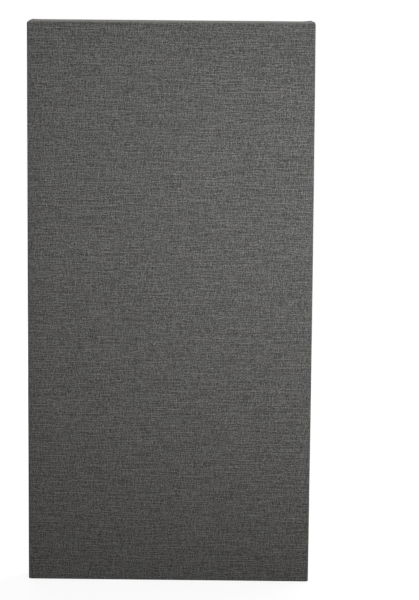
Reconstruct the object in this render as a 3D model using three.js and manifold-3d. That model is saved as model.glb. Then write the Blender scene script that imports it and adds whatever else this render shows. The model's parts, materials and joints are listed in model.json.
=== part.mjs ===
// An acoustic panel that stands or hangs upright. A foam slab fills a mitred timber frame, woven cloth
// wraps the front and sides and turns in over the back, and a thin dust cover closes the back.
// Two folded steel straps on the back each carry a wire ring that turns, for hanging on a wall.
// Millimetres. +X is to the right as seen from the front, +Z is up, and the front faces -Y.
// The origin is the middle of the flat underside, halfway through the panel's depth.
import * as THREE from "three";
import { mergeVertices } from "three/addons/utils/BufferGeometryUtils.js";
import Module from "manifold-3d";

// The whole panel, from the cloth's front face to the dust cover's back face.
const panelWidth = 609.6;
const panelHeight = 1219.2;
const panelDepth = 50.8;
const seatGap = 0.3; // between a piece and what it seats on
const overrun = 4; // how far a cutter runs past what it cuts

// Timber bars of the frame. The edge radius keeps the cloth from wearing through.
const barWidth = 28;
const barEdgeRadius = 2;
const barCornerRadius = 1.2;

// Cross brace, housed in the stiles from the back.
const braceHeight = 40;
const braceDepth = 18;
const braceHousing = 11;

// Plywood corner gussets, let in flush with the back of the frame.
const gussetLeg = 86;
const gussetInset = 5;
const gussetThickness = 6;
const gussetTipRadius = 4;

// Cloth wrap. At each end of the top side the spare cloth of the corner is folded under, which raises
// a flat patch. Its sizes run inwards from the panel's side, to the folded edge and to where it ends.
const clothThickness = 1;
const clothTurnIn = 24;
const foldRise = 1.4;
const foldRounding = 1.5;
const foldFrontEdge = 3;
const foldBackEdge = 8;
const foldFrontEnd = 16;
const foldBackEnd = 26;
const cornerDrop = 5; // outside the fold the corner slopes down, by this at the panel's side and back

// Dust cover over the back.
const coverThickness = 0.5;
const coverInset = 6;

// Wire ring of a hanger. The reach runs from the turning axis to the middle of the bow's wire.
const ringWire = 3;
const ringInnerWidth = 19;
const ringReach = 17;
const ringCornerRadius = 3.5;
const ringButtGap = 0.6;
const ringRunningGap = 0.3;

// Folded strap of a hanger, two layers of sheet steel with the ring's leg in the fold.
const strapSheet = 1;
const strapWidth = 12.7;
const strapTailRadius = 4;
const hangerDrop = 150; // from the panel's top to the ring's axis

// Pan head screws that hold a strap to its stile.
const screwShank = 3.5;
const screwLength = 18;
const screwPoint = 4;
const screwHead = 7;
const screwHeadHeight = 2.2;
const screwSpacing = 12;
const screwMargin = 1.5; // between a screw's head and the ring, and to the strap's end

// Rubber wall bumpers.
const bumperDiameter = 12.7;
const bumperTopDiameter = 9.6;
const bumperHeight = 5.5;
const bumperTopRadius = 1.6;
const bumperInset = 20; // from the panel's side and from its bottom to the bumper's middle

// Depths from front to back, worked out from the layers.
const frontFace = -panelDepth / 2;
const backFace = panelDepth / 2;
const timberFront = frontFace + clothThickness + seatGap;
const coverFront = backFace - coverThickness;
const turnInBack = coverFront - seatGap;
const timberBack = turnInBack - clothThickness - seatGap;
const timberDepth = timberBack - timberFront;
const foamDepth = timberDepth - gussetThickness - seatGap;

// Widths and heights, worked out the same way.
const skin = clothThickness + seatGap;
const frameWidth = panelWidth - 2 * skin;
const frameHeight = panelHeight - 2 * skin;
const openingWidth = frameWidth - 2 * barWidth;
const openingHeight = frameHeight - 2 * barWidth;
const middleHeight = panelHeight / 2;
const clothEdge = barEdgeRadius + skin;
const clothCorner = barCornerRadius + skin;

// The hanger's own places, measured outwards from the back and down from the ring's axis.
const strapSeat = backFace + seatGap;
const wireRadius = ringWire / 2;
const boreRadius = wireRadius + ringRunningGap;
const barrelRadius = boreRadius + strapSheet;
const layerGap = seatGap;
const strapStack = 2 * strapSheet + layerGap;
const hangerX = panelWidth / 2 - skin - barWidth / 2;
const hangerZ = panelHeight - hangerDrop;
const axisY = strapSeat + barrelRadius;
const upperScrewDrop = ringReach + wireRadius + screwMargin + screwHead / 2;
const lowerScrewDrop = upperScrewDrop + screwSpacing;
const strapLength = lowerScrewDrop + screwHead / 2 + screwMargin;
// The ring hangs down until its bow lies on the strap, which tilts it a little off the vertical.
const ringTilt = Math.asin((strapStack + seatGap + wireRadius - barrelRadius) / ringReach);

const clothColour = { color: 0x5c5c5a, roughness: 0.95, metalness: 0 };
const foamColour = { color: 0x3a3b3d, roughness: 1, metalness: 0 };
const pineColour = { color: 0xd6b685, roughness: 0.75, metalness: 0 };
const plywoodColour = { color: 0xc19a66, roughness: 0.8, metalness: 0 };
const coverColour = { color: 0x17171a, roughness: 0.98, metalness: 0 };
const zincColour = { color: 0xb9bcbe, roughness: 0.35, metalness: 1 };
const rubberColour = { color: 0x1d1d1e, roughness: 0.7, metalness: 0 };

const wasm = await Module();
wasm.setup();

// A closed geometry as a solid that can be cut and joined.
function solidFrom(geometry) {
  const bare = geometry.clone();
  bare.deleteAttribute("normal");
  bare.deleteAttribute("uv");
  const merged = mergeVertices(bare);
  const count = merged.attributes.position.count;
  const triVerts = merged.index
    ? new Uint32Array(merged.index.array)
    : Uint32Array.from({ length: count }, (_, i) => i);
  const vertProperties = merged.attributes.position.array;
  return new wasm.Manifold(new wasm.Mesh({ numProp: 3, vertProperties, triVerts }));
}

// A cut or joined solid back as a geometry with flat faces.
function geometryFrom(solid) {
  const { numProp, numVert, vertProperties, triVerts } = solid.getMesh();
  const positions = new Float32Array(numVert * 3);
  for (let i = 0; i < numVert; i += 1) {
    positions.set(vertProperties.subarray(i * numProp, i * numProp + 3), i * 3);
  }
  const indexed = new THREE.BufferGeometry();
  indexed.setAttribute("position", new THREE.BufferAttribute(positions, 3));
  indexed.setIndex(new THREE.BufferAttribute(triVerts, 1));
  const faceted = indexed.toNonIndexed();
  faceted.computeVertexNormals();
  return faceted;
}

function cut(geometry, ...cutters) {
  const left = cutters.reduce((solid, c) => solid.subtract(solidFrom(c)), solidFrom(geometry));
  return geometryFrom(left);
}

function join(geometry, ...others) {
  return geometryFrom(others.reduce((solid, o) => solid.add(solidFrom(o)), solidFrom(geometry)));
}

function common(geometry, other) {
  return geometryFrom(solidFrom(geometry).intersect(solidFrom(other)));
}

// A box between two corners, given as lists of x, y and z.
function boxBetween(low, high) {
  const size = high.map((value, i) => value - low[i]);
  const middle = high.map((value, i) => (value + low[i]) / 2);
  return new THREE.BoxGeometry(...size).translate(...middle);
}

// An outline drawn as seen from the front, given depth from one y to another.
function frontExtrusion(outline, fromY, toY, curveSegments = 4) {
  const options = { depth: toY - fromY, bevelEnabled: false, curveSegments };
  return new THREE.ExtrudeGeometry(outline, options).rotateX(Math.PI / 2).translate(0, toY, 0);
}

// The outline of an upright rectangle with rounded corners around a centre at middleHeight.
function roundedRectangle(width, height, radius) {
  const [x, low, high] = [width / 2, middleHeight - height / 2, middleHeight + height / 2];
  return new THREE.Shape()
    .moveTo(x, low + radius)
    .lineTo(x, high - radius)
    .absarc(x - radius, high - radius, radius, 0, Math.PI / 2)
    .lineTo(radius - x, high)
    .absarc(radius - x, high - radius, radius, Math.PI / 2, Math.PI)
    .lineTo(-x, low + radius)
    .absarc(radius - x, low + radius, radius, Math.PI, 1.5 * Math.PI)
    .lineTo(x - radius, low)
    .absarc(x - radius, low + radius, radius, 1.5 * Math.PI, 2 * Math.PI);
}

// An upright slab whose front and back edges are rounded over, and its four corners too.
function softSlab(width, height, fromY, toY, edgeRadius, cornerRadius) {
  const [x, low, high] = [width / 2, middleHeight - height / 2, middleHeight + height / 2];
  const outline = new THREE.Shape().moveTo(-x, low).lineTo(x, low).lineTo(x, high).lineTo(-x, high);
  const slab = new THREE.ExtrudeGeometry(outline, {
    depth: toY - fromY - 2 * edgeRadius,
    bevelThickness: edgeRadius,
    bevelSize: edgeRadius,
    bevelOffset: -edgeRadius,
    bevelSegments: 4,
  });
  slab.rotateX(Math.PI / 2).translate(0, toY - edgeRadius, 0);
  const corners = roundedRectangle(width, height, cornerRadius);
  return common(slab, frontExtrusion(corners, fromY - overrun, toY + overrun));
}

// The two top corners cut by a plane that slopes down outwards from the fold's edge. The depth is how
// far inside the cloth's outer face the plane lies.
function slopeCorners(geometry, depth) {
  const sloped = [-1, 1].reduce((solid, side) => {
    const at = (distance, y, drop) =>
      new THREE.Vector3(side * (panelWidth / 2 - distance), y, panelHeight - drop);
    const plane = new THREE.Plane().setFromCoplanarPoints(
      at(foldFrontEdge, frontFace + clothEdge, 0),
      at(foldBackEdge, turnInBack - clothEdge, 0),
      at(0, turnInBack - clothEdge, cornerDrop),
    );
    const inwards = plane.normal.z > 0 ? plane.negate() : plane;
    return solid.trimByPlane(inwards.normal.toArray(), depth - inwards.constant);
  }, solidFrom(geometry));
  return geometryFrom(sloped);
}

// Frame: one ring of timber, parted along the mitres. A bar's own outline is a trapezium whose slanted
// ends stand back from the true mitre, so that two bars are a seat's gap apart.
const mitreStep = seatGap / Math.SQRT2;

function mitredOutline(outerLength) {
  const half = outerLength / 2 - mitreStep;
  const reach = barWidth + overrun;
  return new THREE.Shape()
    .moveTo(-half - overrun, -overrun)
    .lineTo(half + overrun, -overrun)
    .lineTo(half - reach, reach)
    .lineTo(reach - half, reach);
}

function mitredCutter(outerLength, quarterTurns, x, z) {
  const wedge = new THREE.ExtrudeGeometry(mitredOutline(outerLength), {
    depth: timberDepth + 2 * overrun,
    bevelEnabled: false,
  });
  wedge.rotateZ((quarterTurns * Math.PI) / 2);
  return wedge.rotateX(Math.PI / 2).translate(x, timberBack + overrun, z);
}

function frameRing() {
  const blank = softSlab(
    frameWidth, frameHeight, timberFront, timberBack, barEdgeRadius, barCornerRadius,
  );
  const x = openingWidth / 2;
  const z = openingHeight / 2;
  const opening = boxBetween(
    [-x, timberFront - overrun, middleHeight - z],
    [x, timberBack + overrun, middleHeight + z],
  );
  return cut(slopeCorners(blank, skin), opening);
}

// A gusset is a right triangle that follows two outer sides of the frame, with its sharp tips rounded.
// The four differ only in which way they face, given by sideX and sideZ as 1 or -1.
function gussetOutline(sideX, sideZ, growth) {
  const cornerX = frameWidth / 2 - gussetInset + growth;
  const cornerZ = frameHeight / 2 - gussetInset + growth;
  const leg = gussetLeg + (2 + Math.SQRT2) * growth;
  const place = (alongX, alongZ) => [
    sideX * (cornerX - alongX),
    middleHeight + sideZ * (cornerZ - alongZ),
  ];
  const outline = new THREE.Shape();
  outline.moveTo(...place(0, 0));
  outline.lineTo(...place(leg - gussetTipRadius, 0));
  outline.quadraticCurveTo(
    ...place(leg, 0),
    ...place(leg - gussetTipRadius / Math.SQRT2, gussetTipRadius / Math.SQRT2),
  );
  outline.lineTo(...place(gussetTipRadius / Math.SQRT2, leg - gussetTipRadius / Math.SQRT2));
  outline.quadraticCurveTo(...place(0, leg), ...place(0, leg - gussetTipRadius));
  return outline;
}

function gusset(sideX, sideZ, growth = 0) {
  const front = timberBack - gussetThickness - growth;
  const back = growth > 0 ? timberBack + overrun : timberBack;
  return frontExtrusion(gussetOutline(sideX, sideZ, growth), front, back);
}

const cornerSides = [
  [-1, 1],
  [1, 1],
  [-1, -1],
  [1, -1],
];

// The brace's end, grown by the seat's gap, cuts its housing in a stile and its channel in the foam.
function brace(growth = 0) {
  const x = openingWidth / 2 + braceHousing - seatGap + growth;
  const z = braceHeight / 2 + growth;
  const back = growth > 0 ? timberBack + overrun : timberBack;
  return boxBetween(
    [-x, timberBack - braceDepth - growth, middleHeight - z],
    [x, back, middleHeight + z],
  );
}

// The places of a hanger's two screws, on the hanger's middle line.
function screwHeights() {
  return [hangerZ - upperScrewDrop, hangerZ - lowerScrewDrop];
}

function screwHole(side, z, fromY, toY) {
  const radius = screwShank / 2 + seatGap;
  return new THREE.CylinderGeometry(radius, radius, toY - fromY, 16)
    .translate(side * hangerX, (fromY + toY) / 2, z);
}

function screwHolesBothSides(fromY, toY) {
  return [-1, 1].flatMap((side) => screwHeights().map((z) => screwHole(side, z, fromY, toY)));
}

// The screw's tip, measured from the strap's outer face where its head seats.
const headSeat = strapSeat + strapStack + seatGap;
const screwTip = headSeat - screwLength;
const rebates = cornerSides.map(([sideX, sideZ]) => gusset(sideX, sideZ, seatGap));
const cuttersInTimber = [
  ...rebates,
  brace(seatGap),
  ...screwHolesBothSides(screwTip - seatGap, timberBack + overrun),
];
const timberRing = cut(frameRing(), ...cuttersInTimber);

function bar(outerLength, quarterTurns, x, z) {
  return common(timberRing, mitredCutter(outerLength, quarterTurns, x, z));
}

// Foam: a slab in the opening, flush with the front of the timber and channelled for the brace.
function foamSlab() {
  const x = openingWidth / 2 - seatGap;
  const z = openingHeight / 2 - seatGap;
  const slab = boxBetween(
    [-x, timberFront, middleHeight - z],
    [x, timberFront + foamDepth, middleHeight + z],
  );
  return cut(slab, brace(seatGap));
}

// Cloth: a tray with rounded edges that turns in over the back, with a raised fold at each end of the
// top side. The fold's patch widens from the front to the back, as a corner folded by hand does.
function clothWrap() {
  const outer = softSlab(
    panelWidth, panelHeight, frontFace, turnInBack, clothEdge, clothCorner,
  );
  const cavity = softSlab(
    panelWidth - 2 * clothThickness,
    panelHeight - 2 * clothThickness,
    frontFace + clothThickness,
    turnInBack - clothThickness,
    clothEdge - clothThickness,
    clothCorner - clothThickness,
  );
  const x = panelWidth / 2 - clothTurnIn;
  const backOpening = boxBetween(
    [-x, 0, clothTurnIn],
    [x, turnInBack + overrun, panelHeight - clothTurnIn],
  );
  const folded = join(slopeCorners(outer, 0), topFold(-1), topFold(1));
  return cut(
    folded,
    slopeCorners(cavity, clothThickness),
    backOpening,
    ...screwHolesBothSides(timberBack, turnInBack + overrun),
  );
}

function topFold(side) {
  const backY = turnInBack - clothEdge;
  const frontY = frontFace + clothEdge;
  const inwards = (distance) => side * (panelWidth / 2 - distance);
  const outline = new THREE.Shape()
    .moveTo(inwards(foldFrontEdge), frontY)
    .lineTo(inwards(foldBackEdge), backY)
    .lineTo(inwards(foldBackEnd), backY)
    .lineTo(inwards(foldFrontEnd), frontY);
  return new THREE.ExtrudeGeometry(outline, {
    depth: clothThickness / 2,
    bevelThickness: foldRise,
    bevelSize: foldRounding,
    bevelSegments: 3,
  }).translate(0, 0, panelHeight - clothThickness / 2);
}

function dustCover() {
  const x = panelWidth / 2 - coverInset;
  const sheet = boxBetween([-x, coverFront, coverInset], [x, backFace, panelHeight - coverInset]);
  return cut(sheet, ...screwHolesBothSides(coverFront - overrun, backFace + overrun));
}

// Strap: its section runs up the inner layer, over the barrel around the ring's leg and back down the
// outer layer. The section is drawn outwards and upwards from the point under the ring's axis.
function strapSection() {
  const outerStart = strapStack;
  const innerStart = strapSheet + layerGap;
  const outerAngle = -Math.acos((outerStart - barrelRadius) / barrelRadius);
  const innerAngle = -Math.acos((innerStart - barrelRadius) / boreRadius);
  return new THREE.Shape()
    .moveTo(0, -strapLength)
    .lineTo(0, 0)
    .absarc(barrelRadius, 0, barrelRadius, Math.PI, outerAngle, true)
    .lineTo(outerStart, -strapLength)
    .lineTo(innerStart, -strapLength)
    .lineTo(
      barrelRadius + boreRadius * Math.cos(innerAngle),
      boreRadius * Math.sin(innerAngle),
    )
    .absarc(barrelRadius, 0, boreRadius, innerAngle, Math.PI, false)
    .lineTo(strapSheet, -strapLength);
}

function strapPlan() {
  const x = strapWidth / 2;
  const top = barrelRadius + overrun;
  return new THREE.Shape()
    .moveTo(-x, top)
    .lineTo(-x, strapTailRadius - strapLength)
    .quadraticCurveTo(-x, -strapLength, strapTailRadius - x, -strapLength)
    .lineTo(x - strapTailRadius, -strapLength)
    .quadraticCurveTo(x, -strapLength, x, strapTailRadius - strapLength)
    .lineTo(x, top);
}

function strap(side) {
  const band = new THREE.ExtrudeGeometry(strapSection(), {
    depth: strapWidth,
    bevelEnabled: false,
    curveSegments: 9,
  });
  // The section's x runs outwards from the back, its y upwards and its depth across the panel.
  const [across, out, up] = [[1, 0, 0], [0, 1, 0], [0, 0, 1]].map((a) => new THREE.Vector3(...a));
  band.applyMatrix4(new THREE.Matrix4().makeBasis(out, up, across));
  band.translate(-strapWidth / 2, strapSeat, 0);
  const plan = frontExtrusion(strapPlan(), backFace - overrun, axisY + barrelRadius + overrun);
  const shaped = common(band, plan).translate(side * hangerX, 0, hangerZ);
  const holes = screwHeights().map((z) => screwHole(side, z, backFace, headSeat + overrun));
  return cut(shaped, ...holes);
}

// Ring: one bent wire. Its straight leg lies in the strap's barrel, where the two ends butt, and its
// bow hangs below. The path starts and ends at the butt, and is drawn flat around the turning axis.
function ringPath() {
  const side = ringInnerWidth / 2 + wireRadius;
  const flat = (x, z) => new THREE.Vector3(x, 0, z);
  const roundShare = 0.55; // how far a Bezier handle reaches to draw a quarter of a circle
  const path = new THREE.CurvePath();
  const halfTurns = [1, -1].map((hand) => [
    new THREE.LineCurve3(
      flat((hand * ringButtGap) / 2, 0),
      flat(hand * (side - ringCornerRadius), 0),
    ),
    new THREE.QuadraticBezierCurve3(
      flat(hand * (side - ringCornerRadius), 0),
      flat(hand * side, 0),
      flat(hand * side, -ringCornerRadius),
    ),
    new THREE.CubicBezierCurve3(
      flat(hand * side, -ringCornerRadius),
      flat(hand * side, -ringCornerRadius - roundShare * (ringReach - ringCornerRadius)),
      flat(hand * roundShare * side, -ringReach),
      flat(0, -ringReach),
    ),
  ]);
  const [[rightLeg, rightCorner, rightBow], [leftLeg, leftCorner, leftBow]] = halfTurns;
  path.curves.push(rightLeg, rightCorner, rightBow);
  path.curves.push(reversed(leftBow), reversed(leftCorner), reversed(leftLeg));
  return path;
}

function reversed(curve) {
  const { v0, v1, v2, v3 } = curve;
  if (v3) {
    return new THREE.CubicBezierCurve3(v3, v2, v1, v0);
  }
  return v0 ? new THREE.QuadraticBezierCurve3(v2, v1, v0) : new THREE.LineCurve3(v2, v1);
}

function ring(side) {
  const wire = new THREE.Shape().absarc(0, 0, wireRadius, 0, 2 * Math.PI);
  const bent = new THREE.ExtrudeGeometry(wire, {
    steps: 44,
    curveSegments: 4,
    extrudePath: ringPath(),
  });
  return bent.rotateX(ringTilt).translate(side * hangerX, axisY, hangerZ);
}

// Screw: a point, a plain shank and a domed pan head, drawn as a half section along its axis.
function screw(side, z) {
  const head = screwHead / 2;
  const shank = screwShank / 2;
  const dome = new THREE.QuadraticBezierCurve(
    new THREE.Vector2(head, headSeat),
    new THREE.Vector2(head, headSeat + screwHeadHeight),
    new THREE.Vector2(0, headSeat + screwHeadHeight),
  );
  const section = [
    new THREE.Vector2(0, screwTip),
    new THREE.Vector2(shank, screwTip + screwPoint),
    new THREE.Vector2(shank, headSeat),
    ...dome.getPoints(5),
  ];
  return new THREE.LatheGeometry(section, 14).translate(side * hangerX, 0, z);
}

function bumper(side) {
  const seat = backFace + seatGap;
  const top = seat + bumperHeight;
  const rim = new THREE.QuadraticBezierCurve(
    new THREE.Vector2(bumperTopDiameter / 2, top - bumperTopRadius),
    new THREE.Vector2(bumperTopDiameter / 2, top),
    new THREE.Vector2(bumperTopDiameter / 2 - bumperTopRadius, top),
  );
  const section = [
    new THREE.Vector2(0, seat),
    new THREE.Vector2(bumperDiameter / 2, seat),
    ...rim.getPoints(4),
    new THREE.Vector2(0, top),
  ];
  const x = side * (panelWidth / 2 - bumperInset);
  return new THREE.LatheGeometry(section, 20).translate(x, 0, bumperInset);
}

const panel = new THREE.Group();

function add(name, geometry, finish) {
  const mesh = new THREE.Mesh(geometry, new THREE.MeshStandardMaterial(finish));
  mesh.name = name;
  panel.add(mesh);
}

add("stile_left", bar(frameHeight, 3, -frameWidth / 2, middleHeight), pineColour);
add("stile_right", bar(frameHeight, 1, frameWidth / 2, middleHeight), pineColour);
add("rail_top", bar(frameWidth, 2, 0, panelHeight - skin), pineColour);
add("rail_bottom", bar(frameWidth, 0, 0, skin), pineColour);
add("cross_brace", brace(), pineColour);
cornerSides.forEach(([sideX, sideZ]) => {
  const name = `gusset_${sideZ > 0 ? "top" : "bottom"}_${sideX > 0 ? "right" : "left"}`;
  add(name, gusset(sideX, sideZ), plywoodColour);
});
add("foam_core", foamSlab(), foamColour);
add("fabric_wrap", clothWrap(), clothColour);
add("dust_cover", dustCover(), coverColour);
[-1, 1].forEach((side) => {
  const hand = side > 0 ? "right" : "left";
  const [upper, lower] = screwHeights();
  add(`strap_${hand}`, strap(side), zincColour);
  add(`ring_${hand}`, ring(side), zincColour);
  add(`strap_screw_${hand}_upper`, screw(side, upper), zincColour);
  add(`strap_screw_${hand}_lower`, screw(side, lower), zincColour);
  add(`bumper_${hand}`, bumper(side), rubberColour);
});

export default panel;
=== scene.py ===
import json
import math

import bmesh
import bpy
from mathutils import Matrix, Vector, noise


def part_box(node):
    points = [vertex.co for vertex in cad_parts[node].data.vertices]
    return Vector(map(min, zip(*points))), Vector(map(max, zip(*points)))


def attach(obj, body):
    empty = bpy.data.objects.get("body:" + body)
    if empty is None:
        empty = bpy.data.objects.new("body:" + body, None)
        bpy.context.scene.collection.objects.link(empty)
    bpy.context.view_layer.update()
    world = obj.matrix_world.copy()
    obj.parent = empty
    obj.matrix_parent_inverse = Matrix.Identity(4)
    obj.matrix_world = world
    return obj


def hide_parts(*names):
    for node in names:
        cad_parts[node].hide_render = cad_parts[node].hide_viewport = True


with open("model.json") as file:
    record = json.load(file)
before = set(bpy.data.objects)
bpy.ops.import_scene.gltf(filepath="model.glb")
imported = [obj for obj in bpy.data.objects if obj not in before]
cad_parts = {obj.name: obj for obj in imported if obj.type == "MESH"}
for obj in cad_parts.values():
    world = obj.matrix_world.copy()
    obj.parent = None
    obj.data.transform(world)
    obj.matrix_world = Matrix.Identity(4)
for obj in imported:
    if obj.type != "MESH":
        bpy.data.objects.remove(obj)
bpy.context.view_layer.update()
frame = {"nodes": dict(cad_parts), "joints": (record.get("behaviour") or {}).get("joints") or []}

# An upright acoustic panel: heathered woven cloth over a timber frame filled with foam, and two
# ring hangers behind. Metres, +Z up, front towards -Y.
clothLow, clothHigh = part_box("fabric_wrap")
coverLow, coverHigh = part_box("dust_cover")


def addObject(name, data):
    made = bpy.data.objects.new(name, data)
    bpy.context.scene.collection.objects.link(made)
    return made


# Camera and studio

cameraView = {
    "place": (0.1532, -6.3442, 1.8344),
    "yaw": 0.616,  # degrees
    "pitch": -10.842,  # looking down
    "roll": -0.448,
    "lens": 180,
    "sensor": 36,
    "clip": (0.1, 200),
}

studio = {
    "ambient": 0.18,  # the world's light on the panel, while the camera sees plain white
    "floorSize": 60,
    "floorColour": (0.25, 0.21, 0.13),  # what the panel gets back from the floor
    "floorShadow": 0.18,  # how much the floor shows of shadows
    "glowNear": 0.90,  # how bright the floor looks by the panel
    "glowFar": 0.98,
    "glowReach": (0.6, 3.0),  # how far out it starts and ends brightening
}

# name: place, point it looks at, size, spread in degrees, watts, colour
lamps = {
    "keyLamp": ((1.09, -1.63, 0.55), (-0.05, 0.0, 1.15), 0.7, 92, 11.1, (0.985, 0.995, 1.01)),
    "topLamp": ((0.7, 0.62, 2.9), (0.2, 0.0, 1.2), 1.2, 120, 16.0, (1.0, 0.98, 0.95)),
    "backLamp": ((-1.0, 2.6, 1.3), (0.0, 0.0, 0.6), 1.6, 150, 25.0, (1.0, 1.0, 1.0)),
}


def makeCamera():
    data = bpy.data.cameras.new("camera")
    data.lens = cameraView["lens"]
    data.sensor_width = cameraView["sensor"]
    data.clip_start, data.clip_end = cameraView["clip"]
    placed = Matrix.Translation(cameraView["place"])
    for turn, axis in (("yaw", "Z"), ("pitch", "X"), ("roll", "Y")):
        placed = placed @ Matrix.Rotation(math.radians(cameraView[turn]), 4, axis)
    camera = addObject("camera", data)
    # an unturned camera looks straight down
    camera.matrix_world = placed @ Matrix.Rotation(math.radians(90), 4, "X")
    bpy.context.scene.camera = camera


def makeLamps():
    for name, (place, target, size, spread, watts, colour) in lamps.items():
        data = bpy.data.lights.new(name, "AREA")
        data.shape = "SQUARE"
        data.size = size
        data.spread = math.radians(spread)
        data.energy = watts
        data.color = colour
        aim = (Vector(target) - Vector(place)).to_track_quat("-Z", "Y")
        lamp = addObject(name, data)
        lamp.matrix_world = Matrix.Translation(place) @ aim.to_matrix().to_4x4()
        lamp.visible_camera = False


# Gives a function that adds a node, sets it up, and links each input given as a node or a socket.
def nodeAdder(tree):
    def add(kind, settings=None, inputs=None):
        made = tree.nodes.new("ShaderNode" + kind)
        for key, value in (settings or {}).items():
            setattr(made, key, value)
        for key, value in (inputs or {}).items():
            if isinstance(value, bpy.types.Node):
                value = value.outputs[0]
            if isinstance(value, bpy.types.NodeSocket):
                tree.links.new(value, made.inputs[key])
            else:
                made.inputs[key].default_value = value
        return made

    return add


def calculator(add):
    def work(operation, *values):
        return add("Math", {"operation": operation}, dict(enumerate(values)))

    return work


# 1 for what the camera, a reflection or glass sees, and 0 for what lights the panel.
def seenDirectly(add, work):
    path = add("LightPath")
    seen = work("MAXIMUM", path.outputs["Is Camera Ray"], path.outputs["Is Glossy Ray"])
    return work("MAXIMUM", seen, path.outputs["Is Transmission Ray"])


def makeWorld():
    world = bpy.data.worlds.new("whiteStudio")
    bpy.context.scene.world = world
    world.use_nodes = True
    tree = world.node_tree
    tree.nodes.clear()
    add = nodeAdder(tree)
    work = calculator(add)
    ambient = studio["ambient"]
    strength = work("MULTIPLY_ADD", seenDirectly(add, work), 1 - ambient, ambient)
    sky = add("Background", inputs={"Color": (1, 1, 1, 1), "Strength": strength})
    add("OutputWorld", inputs={"Surface": sky})


def makeFloor():
    material = bpy.data.materials.new("paleFloor")
    material.use_nodes = True
    tree = material.node_tree
    tree.nodes.clear()
    add = nodeAdder(tree)
    work = calculator(add)
    shadow = studio["floorShadow"]
    near, far = studio["glowReach"]
    away = add("VectorMath", {"operation": "LENGTH"}, {0: add("TexCoord").outputs["Object"]})
    glow = add("MapRange", {"interpolation_type": "SMOOTHSTEP"}, {
        "Value": away.outputs["Value"], "From Min": near, "From Max": far,
        "To Min": studio["glowNear"], "To Max": studio["glowFar"],
    })
    bounce = add("BsdfDiffuse", inputs={"Color": (*studio["floorColour"], 1)})
    shade = add("BsdfDiffuse", inputs={"Color": (shadow, shadow, shadow, 1)})
    light = add("Emission", inputs={"Color": (1, 1, 1, 1), "Strength": glow})
    seen = add("AddShader", inputs={0: shade, 1: light})
    mix = add("MixShader", inputs={0: seenDirectly(add, work), 1: bounce, 2: seen})
    add("OutputMaterial", inputs={"Surface": mix})
    bm = bmesh.new()
    bmesh.ops.create_grid(bm, x_segments=1, y_segments=1, size=studio["floorSize"] / 2)
    mesh = meshFrom(bm, "floor")
    mesh.materials.append(material)
    addObject("floor", mesh)


# Materials. In their dictionaries finish goes on the shader's own sockets, tones are the places and
# colours of the ramp, toneShares say how much of each pattern goes into it, and a pattern in braces
# goes on the sockets of its noise.

def startMaterial(name, look):
    material = bpy.data.materials.new(name)
    material.use_nodes = True
    material.diffuse_color = (*look["colour"], 1)
    tree = material.node_tree
    shader = tree.nodes["Principled BSDF"]
    shader.inputs["Base Color"].default_value = (*look["colour"], 1)
    for socket, value in look["finish"].items():
        shader.inputs[socket].default_value = value
    add = nodeAdder(tree)
    return material, shader, add, calculator(add)


def giveColour(shader, colour):
    shader.id_data.links.new(colour, shader.inputs["Base Color"])


def giveBump(shader, add, height, distance):
    bump = add("Bump", inputs={"Height": height, "Distance": distance})
    shader.id_data.links.new(bump.outputs["Normal"], shader.inputs["Normal"])


def tonesOf(add, factor, look):
    ramp = add("ValToRGB", inputs={"Fac": factor})
    elements = ramp.color_ramp.elements
    while len(elements) < len(look["tones"]):
        elements.new(0.5)
    for element, (place, colour) in zip(elements, look["tones"]):
        element.position = place
        element.color = (*colour, 1)
    return ramp.outputs[0]


def noiseOn(add, place, values, dimensions="3D"):
    return add("TexNoise", {"noise_dimensions": dimensions}, {"Vector": place, **values})


def weigh(work, first, second, shares):
    return work("MULTIPLY_ADD", first, shares[0], work("MULTIPLY", second, shares[1]))


# A Mix node has sockets for each kind of data: 6 and 7 take the colours, and the third gives one.
def mixColours(add, factor, first, second, blend="MIX"):
    mix = add("Mix", {"data_type": "RGBA", "blend_type": blend}, {0: factor, 6: first, 7: second})
    return mix.outputs[2]


weave = {
    "colour": (0.098, 0.0972, 0.0950),
    "tones": [
        (0.08, (0.012, 0.012, 0.0118)),
        (0.5, (0.098, 0.0972, 0.0950)),
        (0.95, (0.300, 0.297, 0.289)),
    ],
    "finish": {
        "Roughness": 0.92, "Sheen Weight": 0.35, "Sheen Roughness": 0.55,
        "Sheen Tint": (0.95, 0.92, 0.88, 1), "Specular IOR Level": 0.25,
    },
    # streak is a thread's longest light or dark stretch, and each finer one is half as long
    "warp": {
        "pitch": 0.00095, "streak": 0.020, "finer": 3.0, "roughness": 1.0, "contrast": 3.3,
        "apart": 0.3,  # how much darker a thread is where the next but one is light
        "lane": 3.7,  # where the set's first thread reads the noise
    },
    "weft": {
        "pitch": 0.00112, "streak": 0.100, "finer": 6.0, "roughness": 1.0, "contrast": 4.35,
        "apart": 0.5,
        "lane": 41.3,
    },
    "laneStep": 7.31,  # from one thread's place in the noise to the next
    "fatness": (0.62, 0.9),  # a dark thread's width in pitches, and what the lightest one gains
    "crossingContrast": 0.3,
    "fibre": 0.00016,
    "fibreContrast": 0.3,
    "wander": 0.0004,  # how far the threads stray from straight
    "wanderLength": 0.03,
    "threadHeight": 0.00025,
    "paintedGapShade": 0.45,  # painted shade: how light the colour is painted in the gaps between the threads, where shade falls
}


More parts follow.
